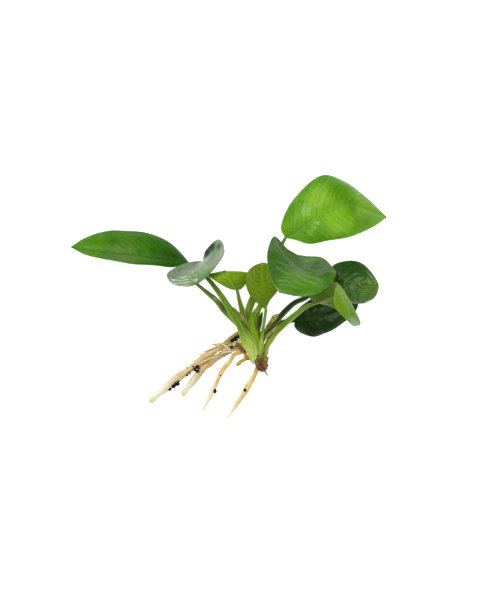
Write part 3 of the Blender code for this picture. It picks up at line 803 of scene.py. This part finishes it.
ROOTS = {
    "long_root": Stalk([(-9.5, 13.5, 4), (-12.5, 11.5, 4), (-17.5, 7.5, 3.5), (-25.5, 2, 2.5),
                        (-33, -4, 2.2), (-39.5, -8.5, 2.2), (-46.5, -14.5, 1.8), (-53, -20, 1.2)],
                       [1.0, 1.1, 1.3, 1.8, 1.8, 2.1, 1.8, 1.5]),
    "second_root": Stalk([(-8, 8, 4.5), (-12, 6.2, 4.5), (-15.5, 4.8, 4), (-19.6, 1.8, 2.9),
                          (-23.2, -1, 2.1), (-27, -4.1, 2), (-33, -11.7, 1.6), (-37.1, -17, 1.1)],
                         [0.9, 1.0, 1.1, 1.2, 1.6, 1.8, 1.6, 1.4]),
    "third_root": Stalk([(-6.2, 4.8, 4), (-8.5, 4.3, 3.8), (-11.5, 3, 3.2), (-13.5, 0, 2),
                         (-17.5, -5, 1.5), (-21, -12.5, 1.2), (-25, -20.5, 1), (-27, -24.5, 0.6)],
                        [0.9, 0.9, 1.0, 1.1, 1.2, 1.1, 0.9, 0.4]),
    "fourth_root": Stalk([(-0.9, -4.8, 1.8), (-1.1, -6, 1.6), (-3.9, -11, 1.5), (-8.2, -18.1, 1.3),
                          (-10.7, -21.6, 1.1), (-14.8, -28.1, 0.5)],
                         [0.9, 1.1, 1.5, 1.3, 1.1, 0.4]),
    "root_stub": Stalk([(-4.5, 1.5, 4), (-8, 0, 3.5), (-10.3, -2.4, 2.5)], [0.7, 0.9, 0.95]),
    "hair_root": Stalk([(4.1, -5.9, 1.9), (4.5, -6.5, 1.7), (5, -7.2, 1.5)], [0.4, 0.35, 0.25]),
}
ROLLED_LEAF = Stalk([(0.6, 15, 15.5), (0.6, 17.5, 16.5), (1, 20.5, 18), (2, 24, 20)],
                    [0.4, 1.0, 1.1, 0.3])

# Green crown tissue that joins the stalks, and the brown collars from which the roots come
CROWN = Stalk([(0.6, 3.6, 7.5), (0.4, 7, 10), (-0.6, 11, 11.2), (-2, 15.5, 11.9),
               (-2.5, 19.3, 12.8), (-1.3, 22.6, 14.3), (0.2, 25.4, 15.4)],
              [1.6, 2.6, 2.8, 2.7, 2.5, 1.9, 1.2])
COLLARS = [
    Stalk([(-9, 7, 4.6), (-7, 5.2, 5), (-5, 4, 5)], [0.7, 1.5, 1.3]),
    Stalk([(-6.6, 2.8, 4.6), (-5, 1.9, 5), (-3, 2, 5)], [0.7, 1.3, 1.3]),
    Stalk([(-11.8, 6.4, 4.4), (-10, 8, 4.8), (-8.2, 8.4, 5)], [0.5, 1.1, 0.9]),
    Stalk([(0.2, 7.4, 6.4), (1.6, 6.4, 7.2), (3, 4.6, 6.8)], [0.6, 1.2, 0.9]),
]
# A small pale bract at the crown's foot
PALE_SCALE = Stalk([(-3.6, 1.6, 5.4), (-2.4, 0, 5.6), (-1.4, 0.2, 5.8)], [0.7, 1.2, 0.9])

# Dark gravel grains caught among the roots: place and size
GRAINS = [
    ((-12.2, 10, 5), 2.2), ((-10.6, 10.9, 5), 2.4), ((-8.8, 11.8, 5), 2.4),
    ((-7.2, 7.6, 6.6), 1.7), ((-12.7, 6.8, 5.4), 1.5), ((-17.9, 4, 4), 1.0),
    ((-16.2, 2.6, 3.6), 1.1),
    ((-29.3, -2.7, 4.2), 1.9), ((-30.6, -3.9, 4.2), 1.8), ((-29.4, -4.8, 4.1), 1.7),
    ((-31.4, -2.6, 4), 1.0), ((-33, -5.8, 3.9), 1.2),
    ((-34.7, -3.6, 2), 1.2), ((-34.4, -6.8, 3.2), 1.2), ((-39.3, -11.1, 4), 2.5),
    ((-41, -12.2, 3.6), 2.0), ((-42.7, -13.6, 3.2), 1.9), ((-38.4, -9.8, 4), 1.2),
    ((-18.1, -7, 2.8), 0.8), ((-20.8, -14.6, 2), 2.0), ((-6.2, -14.1, 2.8), 1.9),
]

# Split and dead root fibres: their two ends and their thickness
FIBRES = [
    ((-24.1, 7.9, 3), (-16.9, 7.4, 4), 0.5), ((-18.8, 8.9, 4), (-12.7, 3.8, 4.5), 0.9),
    ((-12.2, 8.4, 5), (-8.2, 10.3, 5), 0.8), ((-14.5, 6.9, 4), (-8.6, 7.9, 5.5), 0.7),
    ((-21.3, 5.4, 3), (-15.4, 4.5, 4), 0.6), ((-19.8, 2.5, 2.5), (-12, 6, 4.5), 0.8),
    ((-22.3, 9.5, 2), (-13, 5.5, 4.5), 0.5), ((-30.6, 2.2, 2), (-26.7, 3.2, 3), 0.4),
    ((-30.1, -1.4, 2.6), (-17.4, 3.9, 4.4), 0.7), ((-27, -1, 2.2), (-13.5, 4.4, 4.6), 0.9),
    ((-24.2, -2.6, 2), (-12.6, 4.6, 4), 0.8), ((-20.4, 1.2, 3), (-11.8, 8.6, 4.8), 0.6),
    ((-26.6, 4.4, 3.6), (-12.4, 9.2, 4.6), 0.8), ((-24.6, 1.2, 4), (-15, 8, 5), 0.6),
    ((-28.5, -3, 2.4), (-15.5, 4.2, 3.4), 2.6), ((-23, 0.6, 2.6), (-10, 6.8, 4), 2.2),
    ((-24.5, 2.8, 3), (-12, 8.6, 4.2), 1.8), ((-19, 3.6, 3.4), (-8.6, 6.2, 4.4), 2.0),
]

# The palest ones, which lie over the others
PALE_FIBRES = [
    ((-29.4, -1.7, 4.2), (-19.3, 2.7, 4.8), 1.0), ((-18.8, 8.9, 5.2), (-12.9, 4.6, 5.4), 1.1),
    ((-19.5, 3.2, 5), (-12.6, 4.7, 5.6), 0.8), ((-24, 8, 4), (-18, 6.6, 5), 0.6),
]

FIBRE_BEND = (0.3, 0.5, 0.4)      # of a fibre's middle, away from the straight
FIBRE_RADII = (0.3, 0.5, 0.4)     # at its start, middle and end, as shares of its thickness
FIBRE_ALONG = (0.6, 0.2)          # the places along a root whose colours its two ends have

# The colours of each leaf, and its patches and dull patches: place, reach and colour. Many patches
# are painted light: painted sheen, painted highlights and, in the dull ones, painted shade.
LEAF_LOOKS = {
    "top_leaf": dict(
        light=(112, 164, 22), deep=(78, 134, 6), under=(130, 165, 40), rib=(100, 150, 60),
        veins=0.26,
        # Its pale and greyish patches are painted highlights and painted sheen; the others make it
        # darker or lighter green in places.
        patches=[((39, 83, 18), 12, (72, 128, 4)), ((29, 79, 20), 9, (128, 174, 52)),
                 ((21, 63, 19), 10, (90, 138, 36)), ((12, 64, 15), 6, (92, 148, 12)),
                 ((38, 67, 23), 10, (124, 176, 40)), ((27, 59, 22), 9, (72, 128, 2)),
                 ((45, 74.5, 20), 5, (74, 130, 8)), ((17, 73, 17), 5, (74, 130, 2)),
                 ((56, 67, 10), 6, (98, 156, 2)), ((57, 75, 8), 5, (118, 160, 60))],
    ),
    "long_leaf": dict(
        light=(60, 112, 0), deep=(40, 86, 0), under=(100, 140, 50), wet=0.02, veins=0.3,
        # The first patch, greyish green on the lower half, is painted sheen; the others make it
        # lighter or darker green in places.
        patches=[((-66, 50, 14), 13, (80, 112, 46)), ((-42, 50, 12), 11, (32, 70, 0)),
                 ((-82, 56, 6), 12, (74, 126, 0)), ((-52, 60, 5), 10, (50, 100, 0)),
                 ((-65, 58, 6), 1.6, (120, 164, 40)), ((-76, 60, 4), 2, (88, 134, 6)),
                 ((-57, 53, 12), 3, (40, 84, 0)), ((-70, 57, 6), 4, (50, 96, 0))],
    ),
    "arched_leaf": dict(
        # Painted sheen: its light and deep colours are silvery grey-green, a sheen painted over the
        # whole upper side. Its patches are greener, where less of that sheen is painted, and its
        # dull patches are painted shade on the face that turns away from the light.
        light=(116, 134, 106), deep=(90, 112, 78), under=(36, 66, 14), wet=0.7,
        gleam=(1, 1, 0.9, 1),
        patches=[((-28.6, 40.2, 27), 6, (80, 126, 44)), ((-24.5, 44.5, 30), 5.5, (88, 132, 56)),
                 ((-34, 38, 26), 4, (100, 134, 74)), ((-16.5, 52.5, 33), 4, (110, 138, 84))],
        dull_shade=[((-24, 52.4, 22), 4.4, (22, 52, 4)), ((-21.9, 55.6, 24.5), 3.8, (26, 56, 8)),
              ((-18.6, 55, 29), 2.2, (66, 90, 58))],
    ),
    "small_leaf": dict(light=(90, 130, 30), deep=(70, 110, 20), under=(102, 136, 4)),
    "young_leaf": dict(
        light=(90, 130, 30), deep=(70, 110, 20), under=(90, 116, 2), rim=(50, 74, 6),
    ),
    "broad_leaf": dict(
        light=(72, 118, 22), deep=(52, 92, 22), under=(100, 130, 40), wet=0.4, veins=0.1,
        # The two greyish patches in the middle are painted sheen; the others make it darker or
        # brighter green.
        patches=[((18, 47, 38), 10, (62, 88, 50)), ((8, 55, 35), 7, (66, 94, 50)),
                 ((29, 44, 41), 8, (46, 78, 30)), ((22, 35, 48), 9, (74, 124, 18))],
    ),
    "round_leaf": dict(
        light=(62, 104, 4), deep=(36, 80, 0), under=(90, 120, 40), wet=0.4,
        patches=[((42, 45, 26), 11, (14, 54, 0)), ((55, 35, 24), 9, (74, 112, 20)),
                 ((37, 38, 28), 6, (20, 52, 0))],
    ),
    "folded_leaf": dict(
        light=(104, 144, 8), deep=(86, 130, 2), under=(92, 122, 14), wet=0.15,
        # The silvery grey patch at its end is painted sheen.
        patches=[((44.5, 16.5, 47), 7, (160, 174, 152)), ((46, 22, 42), 6, (90, 130, 30))],
    ),
    "dark_leaf": dict(
        light=(18, 58, 0), deep=(8, 36, 0), under=(50, 80, 20), rim=(36, 58, 10), wet=0.12,
        patches=[((27, 23, 7), 8, (26, 46, 14)), ((36, 20, 4), 9, (8, 42, 0)),
                 ((20, 15, 3), 5, (40, 74, 8))],
    ),
}


def add_leaves():
    bright = stalk_look("stalk_bright", base=(156, 180, 56), middle=(88, 122, 4),
                        top=(78, 110, 10), streak=(62, 92, 0))
    dark = stalk_look("stalk_dark", base=(76, 112, 4), middle=(36, 70, 0),
                      top=(26, 50, 0), streak=(18, 42, 0))
    pale = stalk_look("stalk_pale", base=(160, 174, 62), middle=(102, 138, 12),
                      top=(100, 130, 34), streak=(84, 112, 6))
    # Its pale base is partly the stalk's own pale tissue and partly a painted highlight on the wet
    # bulge.
    swollen = stalk_look("stalk_swollen", base=(182, 200, 90), middle=(84, 122, 2),
                         top=(74, 106, 14), streak=(120, 152, 30), pale_to=0.32, wet=0.45)
    looks = {"round_leaf": dark, "dark_leaf": dark, "folded_leaf": pale, "young_leaf": pale,
             "small_leaf": pale, "long_leaf": swollen}
    for name, blade in BLADES.items():
        look = leaf_look(name + "_green", **LEAF_LOOKS[name])
        add_blade(f"shown_{name}_blade", name + "_blade", blade, look)
        # The stalk ends under the midrib, a little way along it
        grid, up, _ = blade_surface(blade, np.array([0.03, 0.05, 0.07]), np.array([-0.1, 0, 0.1]))
        under = [tuple(place - up[1, 1] * depth)
                 for place, depth in zip((blade.base, grid[1, 1]), UNDER_BLADE)]
        stalk = Stalk(STALKS[name].path + under, STALKS[name].radii + UNDER_BLADE_RADII)
        add_stalk(f"shown_{name}_stalk", name + "_stalk", stalk,
                  looks.get(name, bright), bulge=BULGES.get(name, 0.0))


def add_sheaths():
    papery = papery_look("dry_sheath", pale=(176, 172, 104), brown=(128, 116, 48))
    for name, sheath in SHEATHS.items():
        add_blade("shown_" + name, name, sheath, papery, SHEATH_THICKNESS,
                  SHEATH_RELIEF)
    rolled = stalk_look("rolled_green", base=(60, 84, 24), middle=(34, 58, 10),
                        top=(44, 70, 16), streak=(24, 44, 8))
    add_stalk("shown_rolled_leaf", "rolled_leaf", ROLLED_LEAF, rolled)


def add_roots():
    cream = root_look("root_cream", flesh=(200, 178, 124), shade=(188, 156, 94),
                      tip=(222, 215, 194), crown=(136, 124, 30), end=(214, 206, 130))
    golden = root_look("root_golden", flesh=(222, 198, 140), shade=(208, 172, 100),
                       tip=(226, 216, 190), crown=(202, 168, 76), end=(220, 206, 140))
    olive = root_look("root_olive", flesh=(172, 160, 50), shade=(146, 138, 36),
                      tip=(170, 156, 40), crown=(150, 142, 30), end=(150, 110, 30))
    looks = {"third_root": golden, "fourth_root": golden, "root_stub": olive, "hair_root": olive}
    for seed, (name, root) in enumerate(ROOTS.items()):
        add_root("shown_" + name, name, root, looks.get(name, cream), seed)
    add_rhizome("rhizome", RHIZOME, bark_look("rhizome_bark"))

    grit = grit_look("dark_grit")
    for number, (spot, size) in enumerate(GRAINS):
        rings, ends = grain_points(np.array(spot, float), size, number)
        skin(f"grain_{number}", None, grit, rings, ends)

    pale = root_look("fibre_pale", flesh=(226, 214, 176), shade=(206, 186, 132),
                     tip=(232, 224, 200), crown=(214, 198, 146), end=(226, 212, 160))
    for number, (start, end, wide) in enumerate(FIBRES + PALE_FIBRES):
        middle = (np.array(start) + end) / 2 + FIBRE_BEND
        fibre = Stalk([start, tuple(middle), end], [share * wide for share in FIBRE_RADII])
        rings, ends, t = tube_rings(fibre, FIBRE_RINGS, FIBRE_SIDES)
        facts = {"along": np.interp(t, (0, 1), FIBRE_ALONG)[:, None],
                 "turn": shares(FIBRE_SIDES)}
        look = cream if number < len(FIBRES) else pale
        skin(f"fibre_{number}", None, look, rings, ends, facts)


def add_crown():
    """The soft tissue between the stalks and the rhizome, which has no node of its own."""
    green = stalk_look("crown_green", base=(150, 168, 60), middle=(116, 146, 24),
                       top=(96, 128, 14), streak=(74, 104, 6))
    pale = stalk_look("scale_pale", base=(206, 204, 150), middle=(200, 198, 140),
                      top=(190, 186, 120), streak=(170, 168, 90))
    brown = bark_look("collar_brown", dark=(120, 62, 10), pale=(196, 136, 60), green_from=2.0)
    add_stalk("crown", None, CROWN, green, ridges=0.1)
    add_stalk("pale_scale", None, PALE_SCALE, pale)
    for number, collar in enumerate(COLLARS):
        add_stalk(f"collar_{number}", None, collar, brown, ridges=0.12)


# ---------------------------------------------------------------- the studio

VIEW_CENTRE = (-10.34, 29.76)   # millimetres, under the camera
CAMERA_HEIGHT = 900             # millimetres
LENS, SENSOR_WIDTH = 110.6, 36
NEAREST_SEEN = 0.01

FLOOR_REACH = 3.0
FLOOR_GREY, FLOOR_GLOW = 0.8, 0.7
SKY_STRENGTH = 0.38
LAMPS_AIM = (0, 0.03, 0)
SOFTBOXES = {  # place, side and power
    "left_softbox": ((-0.75, 0.6, 0.95), 0.5, 11),
    "right_softbox": ((0.8, -0.3, 1.1), 0.7, 6),
    "top_softbox": ((-0.15, 0.15, 1.4), 0.7, 3.5),
}


def add_floor():
    mesh = bpy.data.meshes.new("floor")
    corners = [(-1, -1, 0), (1, -1, 0), (1, 1, 0), (-1, 1, 0)]
    mesh.from_pydata([Vector(corner) * FLOOR_REACH for corner in corners], [], [(0, 1, 2, 3)])
    floor = bpy.data.objects.new("floor", mesh)
    bpy.context.scene.collection.objects.link(floor)
    look = Look("floor_white", Roughness=0.9, Base_Color=(FLOOR_GREY, FLOOR_GREY, FLOOR_GREY, 1),
                Emission_Color=(1, 1, 1, 1), Emission_Strength=FLOOR_GLOW)
    mesh.materials.append(look.material)


def add_studio():
    world = bpy.data.worlds.new("studio")
    bpy.context.scene.world = world
    world.use_nodes = True
    world.node_tree.nodes["Background"].inputs["Color"].default_value = (1, 1, 1, 1)
    world.node_tree.nodes["Background"].inputs["Strength"].default_value = SKY_STRENGTH
    for name, (place, side, power) in SOFTBOXES.items():
        light = bpy.data.lights.new(name, "AREA")
        light.shape = "RECTANGLE"
        light.size = light.size_y = side
        light.energy = power
        lamp = bpy.data.objects.new(name, light)
        bpy.context.scene.collection.objects.link(lamp)
        lamp.location = place
        aim = Vector(LAMPS_AIM) - Vector(place)
        lamp.rotation_euler = aim.to_track_quat("-Z", "Y").to_euler()
    bpy.context.scene.view_settings.view_transform = "Standard"


def add_camera():
    data = bpy.data.cameras.new("camera")
    data.lens = LENS
    data.sensor_width = SENSOR_WIDTH
    data.clip_start = NEAREST_SEEN
    camera = bpy.data.objects.new("camera", data)
    bpy.context.scene.collection.objects.link(camera)
    camera.location = (VIEW_CENTRE[0] * MM, VIEW_CENTRE[1] * MM, CAMERA_HEIGHT * MM)
    bpy.context.scene.camera = camera


add_leaves()
add_sheaths()
add_roots()
add_crown()
add_floor()
add_studio()
add_camera()
